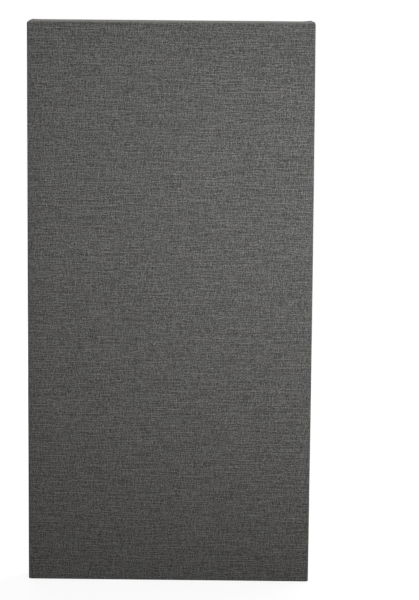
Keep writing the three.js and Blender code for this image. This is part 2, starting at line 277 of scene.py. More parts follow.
# One set of threads: a thread's number, how far a point is from its middle, and its tone around 0.
def threadSet(add, work, place, along, thread):
    scaled = work("DIVIDE", place, thread["pitch"])
    number = work("FLOOR", scaled)
    offset = work("ABSOLUTE", work("SUBTRACT", work("FRACT", scaled), 0.5))
    run = work("DIVIDE", along, thread["streak"])

    def streaksOf(threadsOn):
        counted = work("ADD", number, threadsOn)
        lane = work("MULTIPLY_ADD", counted, weave["laneStep"], thread["lane"])
        vector = add("CombineXYZ", inputs={"X": lane, "Y": run})
        values = {"Scale": 1.0, "Detail": thread["finer"], "Roughness": thread["roughness"]}
        return noiseOn(add, vector, values, "2D")

    streaks = streaksOf(0.0)
    apart = work("MULTIPLY", work("SUBTRACT", streaksOf(2.0), 0.5), thread["apart"])
    plainTone = work("SUBTRACT", work("SUBTRACT", streaks, 0.5), apart)
    tone = work("MULTIPLY", plainTone, thread["contrast"])
    thin, gain = weave["fatness"]
    fatness = work("MULTIPLY_ADD", streaks, gain, thin)
    spread = work("MINIMUM", work("DIVIDE", work("MULTIPLY", offset, 2.0), fatness), 1.0)
    return number, spread, tone


# A thread's height across its width, as a share of what it has where it lies on top.
def threadArch(work, spread, share):
    arch = work("MULTIPLY_ADD", work("MULTIPLY", spread, spread), -1.0, 1.0)
    return work("MULTIPLY", arch, share)


def makeCloth():
    material, shader, add, work = startMaterial("heatheredCloth", weave)
    cut = add("UVMap", {"uv_map": "cutCloth"})
    wander = noiseOn(add, cut, {"Scale": 1 / weave["wanderLength"], "Detail": 1.0}, "2D")
    drift = add("VectorMath", {"operation": "MULTIPLY_ADD"}, {
        0: wander.outputs["Color"], 1: (2 * weave["wander"],) * 3, 2: cut.outputs["UV"],
    })
    split = add("SeparateXYZ", inputs={0: drift})
    across, up = split.outputs["X"], split.outputs["Y"]
    warpNumber, warpSpread, warpTone = threadSet(add, work, across, up, weave["warp"])
    weftNumber, weftSpread, weftTone = threadSet(add, work, up, across, weave["weft"])

    # plain weave: the warp lies over the weft on every second crossing, and under it at half height
    odd = work("FLOORED_MODULO", work("ADD", warpNumber, weftNumber), 2.0)
    warpHeight = threadArch(work, warpSpread, work("MULTIPLY_ADD", odd, 0.5, 0.5))
    weftHeight = threadArch(work, weftSpread, work("MULTIPLY_ADD", odd, -0.5, 1.0))
    warpTop = work("GREATER_THAN", warpHeight, weftHeight)
    height = work("MAXIMUM", warpHeight, weftHeight)

    tone = add("Mix", {"data_type": "FLOAT"}, {0: warpTop, 2: weftTone, 3: warpTone})
    fibre = noiseOn(add, cut, {"Scale": 1 / weave["fibre"], "Detail": 1.0}, "2D")
    crossing = add("TexWhiteNoise", {"noise_dimensions": "2D"}, {
        "Vector": add("CombineXYZ", inputs={"X": warpNumber, "Y": weftNumber}),
    })
    crossed = work("SUBTRACT", crossing, 0.5)
    speckled = work("MULTIPLY_ADD", crossed, weave["crossingContrast"], tone)
    fuzzy = work("MULTIPLY_ADD", work("SUBTRACT", fibre, 0.5), weave["fibreContrast"], speckled)
    colour = tonesOf(add, work("ADD", fuzzy, 0.5), weave)
    # painted shade: the colour is darkened at the threads' edges and in the gaps between them,
    # where shade falls
    shade = work("MULTIPLY_ADD", height, 1 - weave["paintedGapShade"], weave["paintedGapShade"])
    giveColour(shader, mixColours(add, 1.0, colour, shade, "MULTIPLY"))
    giveBump(shader, add, height, weave["threadHeight"])
    return material


dustSheet = {
    "colour": (0.010, 0.010, 0.011),
    "tones": [(0.45, (0.010, 0.010, 0.011)), (1.0, (0.026, 0.026, 0.0286))],
    "finish": {"Roughness": 0.8, "Sheen Weight": 0.15, "Specular IOR Level": 0.35},
    "toneShares": (0.9, 0.5),
    "fibres": {"Scale": 900.0, "Detail": 4.0, "Roughness": 0.75, "Distortion": 1.5},
    "clouds": {"Scale": 45.0, "Detail": 3.0},
    "bondPitch": 0.0022,  # of the staggered spots where the fibres are melted together
    "bondSize": (0.252, 0.42),  # from a spot's middle to its floor's edge and rim, in pitches
    "bondColour": (0.022, 0.022, 0.024),
    "bondDepth": 0.00018,
    "fibreHeight": 0.4,  # next to the depth of a spot
}


def makeDustSheet():
    material, shader, add, work = startMaterial("blackNonWoven", dustSheet)
    place = add("TexCoord").outputs["Object"]
    split = add("SeparateXYZ", inputs={0: place})
    column = work("DIVIDE", split.outputs["X"], dustSheet["bondPitch"])
    stagger = work("MULTIPLY", work("FLOORED_MODULO", work("FLOOR", column), 2.0), 0.5)
    row = work("ADD", work("DIVIDE", split.outputs["Z"], dustSheet["bondPitch"]), stagger)
    sideways = work("SUBTRACT", work("FRACT", column), 0.5)
    upwards = work("SUBTRACT", work("FRACT", row), 0.5)
    lozenge = work("ADD", work("ABSOLUTE", sideways), work("ABSOLUTE", upwards))
    floorSize, rimSize = dustSheet["bondSize"]
    bond = add("MapRange", {"interpolation_type": "SMOOTHSTEP"}, {
        "Value": lozenge, "From Min": floorSize, "From Max": rimSize, "To Min": 1.0, "To Max": 0.0,
    })
    fibres = noiseOn(add, place, dustSheet["fibres"])
    clouds = noiseOn(add, place, dustSheet["clouds"])
    base = tonesOf(add, weigh(work, fibres, clouds, dustSheet["toneShares"]), dustSheet)
    giveColour(shader, mixColours(add, bond, base, (*dustSheet["bondColour"], 1)))
    raised = work("SUBTRACT", 1.0, bond)
    height = work("MULTIPLY_ADD", fibres, dustSheet["fibreHeight"], raised)
    giveBump(shader, add, height, dustSheet["bondDepth"])
    return material


steel = {
    "colour": (0.50, 0.51, 0.53),
    "tones": [(0.35, (0.38, 0.39, 0.41)), (0.65, (0.50, 0.51, 0.53))],
    "finish": {"Roughness": 0.35, "Metallic": 1.0},
    "mottle": {"Scale": 260.0, "Detail": 4.0, "Roughness": 0.6},
    "brushed": {"Scale": 1.0, "Detail": 2.0},
    "brushing": (6000.0, 6000.0, 240.0),  # its scale each way, so that the marks run upwards
    "brushDepth": 0.00001,
    "roughness": (0.24, 0.46),
    "roughnessFrom": (0.3, 0.7),  # the part of the patterns' range that is spread over it
    "roughnessShares": (0.5, 0.5),
}


def makeZincSteel():
    material, shader, add, work = startMaterial("zincSteel", steel)
    place = add("TexCoord").outputs["Object"]
    mottle = noiseOn(add, place, steel["mottle"])
    stretched = add("Mapping", inputs={"Vector": place, "Scale": steel["brushing"]})
    brushed = noiseOn(add, stretched, steel["brushed"])
    giveColour(shader, tonesOf(add, mottle, steel))
    least, most = steel["roughnessFrom"]
    low, high = steel["roughness"]
    roughness = add("MapRange", inputs={
        "Value": weigh(work, brushed, mottle, steel["roughnessShares"]),
        "From Min": least, "From Max": most, "To Min": low, "To Max": high,
    })
    shader.id_data.links.new(roughness.outputs[0], shader.inputs["Roughness"])
    giveBump(shader, add, brushed, steel["brushDepth"])
    return material


rubber = {
    "colour": (0.018, 0.018, 0.019),
    "tones": [(0.35, (0.014, 0.014, 0.015)), (0.7, (0.032, 0.032, 0.034))],
    "finish": {"Roughness": 0.62, "Specular IOR Level": 0.4},
    "toneShares": (0.4, 0.6),
    "speckle": {"Scale": 1800.0, "Detail": 3.0},
    "bloom": {"Scale": 160.0, "Detail": 2.0},
    "speckleDepth": 0.00006,
}


def makeRubber():
    material, shader, add, work = startMaterial("blackRubber", rubber)
    place = add("TexCoord").outputs["Object"]
    speckle = noiseOn(add, place, rubber["speckle"])
    bloom = noiseOn(add, place, rubber["bloom"])
    mix = weigh(work, speckle, bloom, rubber["toneShares"])
    giveColour(shader, tonesOf(add, mix, rubber))
    giveBump(shader, add, speckle, rubber["speckleDepth"])
    return material


foam = {
    "colour": (0.045, 0.046, 0.049),
    "tones": [(0.3, (0.020, 0.020, 0.022)), (0.75, (0.075, 0.076, 0.080))],
    "finish": {"Roughness": 0.95, "Specular IOR Level": 0.2},
    "toneShares": (0.5, 0.6),
    "ragged": {"Scale": 300.0, "Detail": 3.0},
    "cellScale": 900.0,
    "cellDepth": 0.0006,
}


def makeFoam():
    material, shader, add, work = startMaterial("openCellFoam", foam)
    place = add("TexCoord").outputs["Object"]
    cells = add("TexVoronoi", {"feature": "F1"}, {"Vector": place, "Scale": foam["cellScale"]})
    ragged = noiseOn(add, place, foam["ragged"])
    mix = weigh(work, ragged, cells, foam["toneShares"])
    giveColour(shader, tonesOf(add, mix, foam))
    giveBump(shader, add, mix, foam["cellDepth"])
    return material


pine = {
    "colour": (0.50, 0.33, 0.17),
    "tones": [(0.1, (0.62, 0.45, 0.27)), (0.4, (0.50, 0.33, 0.17)), (0.85, (0.34, 0.19, 0.085))],
    "finish": {"Roughness": 0.6},
    "toneShares": (0.35, 0.55),
    "fibres": {"Scale": 1500.0, "Detail": 3.0, "Roughness": 0.6},
    "alongGrain": 0.06,  # the patterns' scale along the grain, next to across it
    "ringWidth": 0.0045,
    "ringDrift": 0.035,
    "drift": {"Scale": 38.0, "Detail": 2.0},
    "lateness": 3.0,  # the higher, the narrower the dark late wood of each ring
    "grainDepth": 0.0001,
}


# Grain runs along the bar: "z" for an upright bar and "x" for one that lies across.
def makePine(name, grainAxis):
    material, shader, add, work = startMaterial(name, pine)
    place = add("TexCoord").outputs["Object"]
    along = pine["alongGrain"]
    squeeze = (along, 1.0, 1.0) if grainAxis == "x" else (1.0, 1.0, along)
    grain = add("Mapping", inputs={"Vector": place, "Scale": squeeze})
    drift = noiseOn(add, grain, pine["drift"])
    split = add("SeparateXYZ", inputs={0: grain})
    sideways = split.outputs["Z"] if grainAxis == "x" else split.outputs["X"]
    drifted = work("MULTIPLY_ADD", drift, pine["ringDrift"], sideways)
    rings = work("DIVIDE", drifted, pine["ringWidth"])
    late = work("POWER", work("FRACT", rings), pine["lateness"])
    fibres = noiseOn(add, grain, pine["fibres"])
    mix = weigh(work, fibres, late, pine["toneShares"])
    giveColour(shader, tonesOf(add, mix, pine))
    giveBump(shader, add, mix, pine["grainDepth"])
    return material


plywood = {
    "colour": (0.55, 0.40, 0.24),
    "tones": [(0.35, (0.60, 0.45, 0.28)), (0.7, (0.42, 0.28, 0.15))],
    "finish": {"Roughness": 0.65},
    "toneShares": (0.4, 0.6),
    "fibres": {"Scale": 1800.0, "Detail": 2.0},
    "figure": {"Scale": 160.0, "Detail": 4.0, "Distortion": 0.6},
    "alongGrain": 0.08,
    "grainDepth": 0.00008,
    "ply": 0.003,
    "glueShare": 0.06,
    "glueColour": (0.16, 0.09, 0.05),
}


def makePlywood():
    material, shader, add, work = startMaterial("birchPlywood", plywood)
    place = add("TexCoord").outputs["Object"]
    squeeze = (1.0, 1.0, plywood["alongGrain"])
    grain = add("Mapping", inputs={"Vector": place, "Scale": squeeze})
    figure = noiseOn(add, grain, plywood["figure"])
    fibres = noiseOn(add, grain, plywood["fibres"])
    depth = add("SeparateXYZ", inputs={0: place}).outputs["Y"]
    plies = work("FRACT", work("DIVIDE", depth, plywood["ply"]))
    glue = work("LESS_THAN", plies, plywood["glueShare"])
    mix = weigh(work, fibres, figure, plywood["toneShares"])
    wood = tonesOf(add, mix, plywood)
    giveColour(shader, mixColours(add, glue, wood, (*plywood["glueColour"], 1)))
    giveBump(shader, add, mix, plywood["grainDepth"])
    return material


# Helpers for the pieces

weldReach = 1e-7  # points nearer than this are one


def meshFrom(bm, name):
    mesh = bpy.data.meshes.new(name)
    bm.to_mesh(mesh)
    bm.free()
    return mesh


# The mesh that a curve or a modifier gives.
def shapedMesh(drawn):
    shaped = drawn.evaluated_get(bpy.context.evaluated_depsgraph_get())
    return bpy.data.meshes.new_from_object(shaped)


def finishPiece(bm, name, material, body, sharpAngle=35):
    bmesh.ops.remove_doubles(bm, verts=bm.verts, dist=weldReach)
    bmesh.ops.recalc_face_normals(bm, faces=bm.faces)
    mesh = meshFrom(bm, name)
    mesh.materials.append(material)
    mesh.polygons.foreach_set("use_smooth", [True] * len(mesh.polygons))
    mesh.set_sharp_from_angle(angle=math.radians(sharpAngle))
    piece = addObject(name, mesh)
    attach(piece, body)
    return piece


# An offset of -1 thickens a sheet inwards from its surface, and 0 to both sides of it.
def giveThickness(piece, thickness, offset):
    wall = piece.modifiers.new("sheetThickness", "SOLIDIFY")
    wall.thickness = thickness
    wall.offset = offset


def roundOff(bm, parts, width, segments, affect="EDGES"):
    return bmesh.ops.bevel(
        bm, geom=parts, offset=width, offset_type="OFFSET", segments=segments, affect=affect,
        profile=0.5, material=-1)


def sliceBox(bm, axis, places):
    normal = Vector((0, 0, 0))
    normal[axis] = 1
    for place in places:
        bmesh.ops.bisect_plane(
            bm, geom=bm.verts[:] + bm.edges[:] + bm.faces[:], dist=weldReach,
            plane_co=normal * place, plane_no=normal)


def onlyVerts(parts):
    return [part for part in parts if isinstance(part, bmesh.types.BMVert)]


def evenPlaces(start, end, step):
    count = max(1, round((end - start) / step))
    return [start + (end - start) * i / count for i in range(1, count)]


def smoothStep(low, high, value):
    share = min(max((value - low) / (high - low), 0), 1)
    return share * share * (3 - 2 * share)


def between(low, high, share):
    return low + (high - low) * share


# Cloth wrap

clothWrap = {
    "edgeRadius": 0.003,
    "edgeSteps": 5,
    "turnIn": 0.024,
    "thickness": 0.0007,
    "cell": 0.02,
    "sideCell": 0.008,
    "foldRise": 0.0014,  # of the patch at each end of the top side
    "foldFullness": (0.35, 1.3),  # of that rise, at the left and at the right
    "frontFullness": 0.7,  # next to what the patch has from mid depth to the back
    "foldEdge": (0.003, 0.008),  # from the side to the folded edge, at the front and at the back
    "foldEnd": (0.016, 0.026),  # from the side to where the patch has died away
    "foldStep": 0.0012,
    "cornerDrop": (0.0032, 0.0012),  # outside the folded edge, where it meets the side and back
    "bottomCrease": 0.0004,
    "creaseWidth": 0.0015,
    "sideBulge": (0.0002, 0.0012),  # at the middle of the left and the right side
    "bulgeReach": 0.04,
    "crown": 0.003,  # how far the foam pushes the middle of the front out
    "crownReach": 0.09,
    "waviness": 0.00016,
    "waveLength": 0.16,
    "stillFoot": 0.03,  # up to this height the ripples are held back
}

# Where the folds are cut finer, from the folded edge at 0 to where the patch ends at 1.
foldShares = [-0.12, -0.04, 0, 0.03, 0.06, 0.1, 0.2, 0.35, 0.5, 0.65, 0.8, 0.9, 1, 1.12]


def foldLine(share, depthShare):
    edge = between(*clothWrap["foldEdge"], depthShare)
    end = between(*clothWrap["foldEnd"], depthShare)
    return between(edge, end, share)


# The flat part of the top side, from the front to the back.
def flatDepth(low, high):
    return low.y + clothWrap["edgeRadius"], high.y - clothWrap["edgeRadius"]


# How far a point is from the side, and its share of the way from the front to the back.
def alongEdge(point, low, high):
    frontY, backY = flatDepth(low, high)
    return high.x - abs(point.x), (point.y - frontY) / (backY - frontY)


# The faces near one end of the top or the bottom side.
def endFaces(bm, high, side, atTop):
    reach = 3 * clothWrap["foldEnd"][1] / 2
    skinDepth = 2 * clothWrap["edgeRadius"]
    faces = []
    for face in bm.faces:
        middle = face.calc_center_median()
        nearSkin = middle.z > high.z - skinDepth if atTop else middle.z < skinDepth
        if nearSkin and side * middle.x > high.x - reach:
            faces.append(face)
    return faces


def sliceFolds(bm, low, high):
    frontY, backY = flatDepth(low, high)
    for side in (-1, 1):
        for atTop in (True, False):
            for share in foldShares:
                faces = endFaces(bm, high, side, atTop)
                parts = [part for face in faces for part in (face, *face.edges, *face.verts)]
                front = Vector((side * (high.x - foldLine(share, 0)), frontY, 0))
                back = Vector((side * (high.x - foldLine(share, 1)), backY, 0))
                along = back - front
                bmesh.ops.bisect_plane(
                    bm, geom=list(dict.fromkeys(parts)), dist=weldReach, plane_co=front,
                    plane_no=Vector((along.y, -along.x, 0)).normalized())


# How far the patch at an end of the top side stands up at a point.
def foldLift(point, low, high):
    distance, depthShare = alongEdge(point, low, high)
    edge = foldLine(0, depthShare)
    end = foldLine(1, depthShare)
    halfStep = clothWrap["foldStep"] / 2
    step = smoothStep(edge - halfStep, edge + halfStep, distance)
    fade = min(max((end - distance) / (end - edge), 0), 1)
    fullness = between(clothWrap["frontFullness"], 1, smoothStep(0, 0.5, depthShare))
    fullness *= clothWrap["foldFullness"][point.x > 0]
    return clothWrap["foldRise"] * fullness * step * fade


# How far the crease at an end of the bottom side is drawn in.
def creaseRise(point, low, high):
    distance, depthShare = alongEdge(point, low, high)
    aside = (distance - foldLine(0, depthShare)) / clothWrap["creaseWidth"]
    return clothWrap["bottomCrease"] * math.exp(-aside ** 2)


# How far the corner beyond a fold's edge drops. The whole corner goes down, with its rounded edges.
def cornerFall(point, low, high):
    distance, depthShare = alongEdge(point, low, high)
    beyond = max(foldLine(0, depthShare) - distance, 0)
    reach = smoothStep(high.z - clothWrap["turnIn"], high.z - clothWrap["edgeRadius"], point.z)
    return reach * beyond * clothWrap["cornerDrop"][point.x > 0] / clothWrap["foldEdge"][1]


# How far the foam pushes the front out at a point, which is nothing at its edges.
def frontCrown(point):
    reach = clothWrap["crownReach"]
    sideShare = min((clothHigh.x - abs(point.x)) / reach, 1)
    levelShare = min(point.z / reach, (clothHigh.z - point.z) / reach, 1)
    return clothWrap["crown"] * (1 - (1 - sideShare) ** 2) * (1 - (1 - levelShare) ** 2)


# A box with rounded edges, sliced into cells and open at the back inside the turn-in.
def clothTray(low, high):
    radius, turnIn, cell = clothWrap["edgeRadius"], clothWrap["turnIn"], clothWrap["cell"]
    bm = bmesh.new()
    bmesh.ops.create_cube(bm, size=1)
    bmesh.ops.scale(bm, vec=high - low, verts=bm.verts)
    bmesh.ops.translate(bm, vec=(high + low) / 2, verts=bm.verts)
    roundOff(bm, bm.edges[:], radius, clothWrap["edgeSteps"])
    side, foot, head = high.x - turnIn, turnIn, high.z - turnIn
    sliceBox(bm, 0, [-side, side, *evenPlaces(-side, side, cell)])
    sliceBox(bm, 2, [foot, head, *evenPlaces(foot, head, cell)])
    sliceBox(bm, 1, evenPlaces(low.y + radius, high.y - radius, clothWrap["sideCell"]))
    sliceFolds(bm, low, high)
    opening = []
    for face in bm.faces:
        middle = face.calc_center_median()
        if middle.y > 0 and abs(middle.x) < side and foot < middle.z < head:
            opening.append(face)
    bmesh.ops.delete(bm, geom=opening, context="FACES")
    bmesh.ops.recalc_face_normals(bm, faces=bm.faces)
    return bm


# Distance along the cloth as it turns over an edge: flat, round the edge, then along the side.
def wrapLength(outwards, backwards, limit, radius):
    if outwards <= limit - radius and backwards < radius:
        return outwards
    if backwards < radius:
        angle = math.atan2(outwards - (limit - radius), radius - backwards)
        return limit - radius + radius * angle
    return limit - radius + radius * math.pi / 2 + backwards - radius


# The flat cloth's own coordinates, in metres, so that the threads run on over the edges.
def mapCutCloth(bm, low, high):
    radius = clothWrap["edgeRadius"]
    halfHeight = (high.z - low.z) / 2
    layer = bm.loops.layers.uv.new("cutCloth")
    for face in bm.faces:
        middle = face.calc_center_median()
        onBack = face.normal.y > 0.7
        sideways = abs(face.normal.x) >= abs(face.normal.z)
        nearSide = high.x - abs(middle.x) < min(middle.z, high.z - middle.z)
        for loop in face.loops:
            point = loop.vert.co
            backwards = point.y - low.y
            upwards = point.z - (low.z + high.z) / 2
            u, v = point.x, upwards
            if onBack and nearSide:
                u = math.copysign(2 * high.x + high.y - low.y - abs(point.x), middle.x)
            elif onBack:
                v = math.copysign(high.z - low.z + high.y - low.y - abs(upwards), upwards)
            elif sideways:
                u = math.copysign(wrapLength(abs(point.x), backwards, high.x, radius), point.x)
            else:
                v = math.copysign(wrapLength(abs(upwards), backwards, halfHeight, radius), upwards)
            loop[layer].uv = (u, v)


# Ripples, bulging sides, the front's crown, the folds and the dropped corners.
def shapeCloth(bm, low, high):
    radius = clothWrap["edgeRadius"]
    bm.normal_update()
    for vert in bm.verts:
        point = vert.co
        wave = noise.noise(point / clothWrap["waveLength"]) * clothWrap["waviness"]
        move = vert.normal * wave * smoothStep(0, clothWrap["stillFoot"], point.z)
        toSide = smoothStep(high.x - clothWrap["bulgeReach"], high.x - radius, abs(point.x))
        bulge = clothWrap["sideBulge"][point.x > 0] * math.sin(math.pi * point.z / high.z)
        move.x += math.copysign(toSide * max(bulge, 0), point.x)
        move.y -= frontCrown(point) * (1 - smoothStep(low.y, low.y + radius, point.y))
        topShare = smoothStep(high.z - radius, high.z - radius * 0.1, point.z)
        bottomShare = 1 - smoothStep(radius * 0.1, radius, point.z)
        move.z += topShare * foldLift(point, low, high) - cornerFall(point, low, high)
        move.z += bottomShare * creaseRise(point, low, high)
        vert.co += move


def makeClothWrap(material):
    low = clothLow
    high = clothHigh - Vector((0, 0, clothWrap["foldRise"]))
    bm = clothTray(low, high)
    mapCutCloth(bm, low, high)
    shapeCloth(bm, low, high)
    piece = finishPiece(bm, "cloth_wrap", material, "panel", sharpAngle=60)
    giveThickness(piece, clothWrap["thickness"], -1)
    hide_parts("fabric_wrap")


# Foam core

foamCore = {
    "gap": 0.0003,
    "cutRadius": 0.0008,
    "cutSteps": 2,
    "cell": 0.04,
    "uneven": 0.00012,  # how far the deepest dents of the cut faces go in
    "unevenScale": 40,
}


# The slab's section, with the channel that the brace lies in, drawn out along X.
def makeFoamCore(material):
    low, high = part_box("foam_core")
    braceLow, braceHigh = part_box("cross_brace")
    gap = foamCore["gap"]
    channelFoot, channelHead = braceLow.z - gap, braceHigh.z + gap
    channelFloor = braceLow.y - gap
    outline = [
        (low.y, low.z), (high.y, low.z), (high.y, channelFoot), (channelFloor, channelFoot),
        (channelFloor, channelHead), (high.y, channelHead), (high.y, high.z), (low.y, high.z),
    ]
    bm = bmesh.new()
    section = bm.faces.new([bm.verts.new((low.x, y, z)) for y, z in outline])
    drawn = bmesh.ops.extrude_face_region(bm, geom=[section])
    bmesh.ops.translate(bm, vec=(high.x - low.x, 0, 0), verts=onlyVerts(drawn["geom"]))
    bmesh.ops.recalc_face_normals(bm, faces=bm.faces)
    roundOff(bm, bm.edges[:], foamCore["cutRadius"], foamCore["cutSteps"])
    sliceBox(bm, 0, evenPlaces(low.x, high.x, foamCore["cell"]))
    sliceBox(bm, 2, evenPlaces(low.z, channelFoot, foamCore["cell"]))
    sliceBox(bm, 2, evenPlaces(channelHead, high.z, foamCore["cell"]))
    middle = (low + high) / 2
    for vert in bm.verts:
        inwards = middle.y - vert.co.y
        dent = foamCore["uneven"] * (0.5 + 0.5 * noise.noise(vert.co * foamCore["unevenScale"]))
        vert.co.y += math.copysign(dent, inwards)
        if inwards > 0:
            vert.co.y -= frontCrown(vert.co)
    piece = finishPiece(bm, "foam_slab", material, "panel")
    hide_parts("foam_core")
    print("foam slab:", len(piece.data.polygons), "faces")


# Dust cover and its staples

dustCover = {
    "cell": 0.016,
    "layer": 0.00025,
    "hem": 0.012,
    "hemStep": 1.1,  # where the sheet has come down from the hem, in hem widths
    "sag": 0.0012,
    "flutter": [(9, 0.6), (23, 0.4)],  # scales and shares of what makes the sag uneven
    "flutterShare": 0.5,  # of the sag
    "frameReach": 0.0305,  # from the cover's edge to the inner edge of the timber
    "sagReach": 4,  # where the sag is full, in frame reaches
    "braceReach": (0.015, 0.08),  # from mid height: the sheet lies on the brace, then it sags
    "wrinkle": 0.35,  # in layers, beside the hem
    "wrinkleScale": 60,
    "wrinkleReach": 0.05,
    "pucker": 0.0009,  # how far the edge is drawn in midway between two staples
    "puckerReach": 0.4,  # in hem widths
    "stapleHold": 0.012,  # how far to each side a staple holds the edge in place
    "stapleSpacing": 0.052,
    "stapleInset": 0.006,
    "stapleJitter": 0.006,  # how far a staple may stray along its row
    "strapMargin": 0.008,  # no staple sits under a hanger's strap or this near to it
}


def nearStrap(point):
    margin = dustCover["strapMargin"]
    for low, high in (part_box("strap_left"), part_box("strap_right")):
        if low.x < point.x < high.x and low.z - margin < point.z < high.z + margin:
            return True
    return False


# Each staple's place, and the axis of the row that it is in.
def staplePlaces():
    inset = dustCover["stapleInset"]
    low = coverLow + Vector((inset, 0, inset))
    high = coverHigh - Vector((inset, 0, inset))
    places = []
    for axis, level in ((0, low.z), (0, high.z), (2, low.x), (2, high.x)):
        count = round((high[axis] - low[axis]) / dustCover["stapleSpacing"])
        for i in range(count):
            along = between(low[axis], high[axis], (i + 0.5) / count)
            stray = noise.noise(Vector((along * 31, level * 17, axis)))
            point = Vector((level, coverHigh.y, level))
            point[axis] = along + dustCover["stapleJitter"] * stray
            if not nearStrap(point):
                places.append((point, axis))
    return places


def edgeDistance(point, axes=(0, 2)):
    return min(min(point[axis] - coverLow[axis], coverHigh[axis] - point[axis]) for axis in axes)


# How deep the sheet lies: a step at the hem, wrinkles beside it, and a sag over the foam.
def coverDepth(point, distance, middle):
    layer, hem, reach = dustCover["layer"], dustCover["hem"], dustCover["frameReach"]
    inside = smoothStep(hem, hem * dustCover["hemStep"], distance)
    over = smoothStep(reach, dustCover["sagReach"] * reach, distance)
    over *= smoothStep(*dustCover["braceReach"], abs(point.z - middle.z))
    flutter = sum(noise.noise(point * scale) * share for scale, share in dustCover["flutter"])
    sag = over * dustCover["sag"] * (1 + dustCover["flutterShare"] * flutter)
    beside = 1 - smoothStep(hem, dustCover["wrinkleReach"], distance)
    wrinkle = dustCover["wrinkle"] * layer * smoothStep(0, hem, distance) * beside
    return layer * inside + sag + wrinkle * noise.noise(point * dustCover["wrinkleScale"])


# Between two staples the edge of the sheet is drawn in.
def puckerEdge(vert, distance, middle, staples):
    hem = dustCover["hem"]
    reach = hem * dustCover["puckerReach"]
    if distance >= reach:
        return
    nearest = min((vert.co - staple).length for staple in staples)
    held = math.exp(-((nearest / dustCover["stapleHold"]) ** 2))
    stepIn = dustCover["pucker"] * (1 - held) * (1 - smoothStep(0, hem, distance))
    for axis in (0, 2):
        if edgeDistance(vert.co, [axis]) < reach:
            vert.co[axis] += math.copysign(stepIn, middle[axis] - vert.co[axis])


def makeDustCover(material):
    size = coverHigh - coverLow
    middle = (coverLow + coverHigh) / 2
    hem = dustCover["hem"]
    bm = bmesh.new()
    bmesh.ops.create_grid(bm, x_segments=1, y_segments=1, size=0.5)
    bmesh.ops.scale(bm, vec=(size.x, size.z, 1), verts=bm.verts)
    bmesh.ops.rotate(bm, matrix=Matrix.Rotation(math.radians(90), 3, "X"), verts=bm.verts)
    bmesh.ops.translate(bm, vec=(middle.x, coverHigh.y, middle.z), verts=bm.verts)
    for axis in (0, 2):
        start, end = coverLow[axis], coverHigh[axis]
        inner = [start + hem, end - hem]
        stepped = [start + hem * dustCover["hemStep"], end - hem * dustCover["hemStep"]]
        places = [*inner, start + hem / 2, *stepped, end - hem / 2]
        sliceBox(bm, axis, places + evenPlaces(*inner, dustCover["cell"]))

    staples = [point for point, axis in staplePlaces()]
    for vert in bm.verts:
        distance = edgeDistance(vert.co)
        depth = coverDepth(vert.co, distance, middle)
        puckerEdge(vert, distance, middle, staples)
        vert.co.y -= depth
    piece = finishPiece(bm, "dust_sheet", material, "panel", sharpAngle=80)
    if sum(polygon.normal.y for polygon in piece.data.polygons) < 0:
        piece.data.flip_normals()
    giveThickness(piece, dustCover["layer"], -1)
    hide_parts("dust_cover")
    print("dust cover:", len(piece.data.polygons), "faces")


staple = {
    "crown": 0.0102,
    "wire": (0.0011, 0.0005),  # wide and thick
    "rounding": 0.35,  # in wire thicknesses
    "standing": 0.3,  # from the sheet to the middle of the wire, in wire thicknesses
    "tilt": 8,  # degrees at most
}


def makeStaples(material):
    bm = bmesh.new()
    wide, thick = staple["wire"]
    places = staplePlaces()
    for number, (point, axis) in enumerate(places):
        made = bmesh.ops.create_cube(bm, size=1)["verts"]
        bmesh.ops.scale(bm, vec=(staple["crown"], thick, wide), verts=made)
        edges = list(dict.fromkeys(edge for vert in made for edge in vert.link_edges))
        shaped = roundOff(bm, edges, thick * staple["rounding"], 1)
        made = list(dict.fromkeys(vert for face in shaped["faces"] for vert in face.verts))
        tilt = math.radians(staple["tilt"]) * noise.noise(Vector((number * 1.7, 3.1, 0)))
        turn = Matrix.Rotation(tilt + (math.radians(90) if axis == 2 else 0), 3, "Y")
        bmesh.ops.rotate(bm, matrix=turn, verts=made)
        out = Vector((0, thick * staple["standing"], 0))
        bmesh.ops.translate(bm, vec=point + out, verts=made)
    finishPiece(bm, "cover_staples", material, "panel")
    print("staples:", len(places))


# Hangers: the strap is one folded band of sheet, and the ring is one bent wire

hanger = {
    "sheet": 0.001,
    "layerGap": 0.0003,
    "bendSteps": 22,
    "tailRadius": 0.004,
    "tailSteps": 6,
    "burr": 0.00015,
    "burrSteps": 2,
    "burrAngle": 50,
    "wire": 0.003,
    "wireSteps": 5,  # makes the wire 14-sided
    "pathSteps": 12,  # from one point of the ring's curve to the next
    "runningGap": 0.0003,
    "ringWidth": 0.019,
    "reach": 0.017,
    "cornerRadius": 0.0035,
    "buttGap": 0.0006,
}


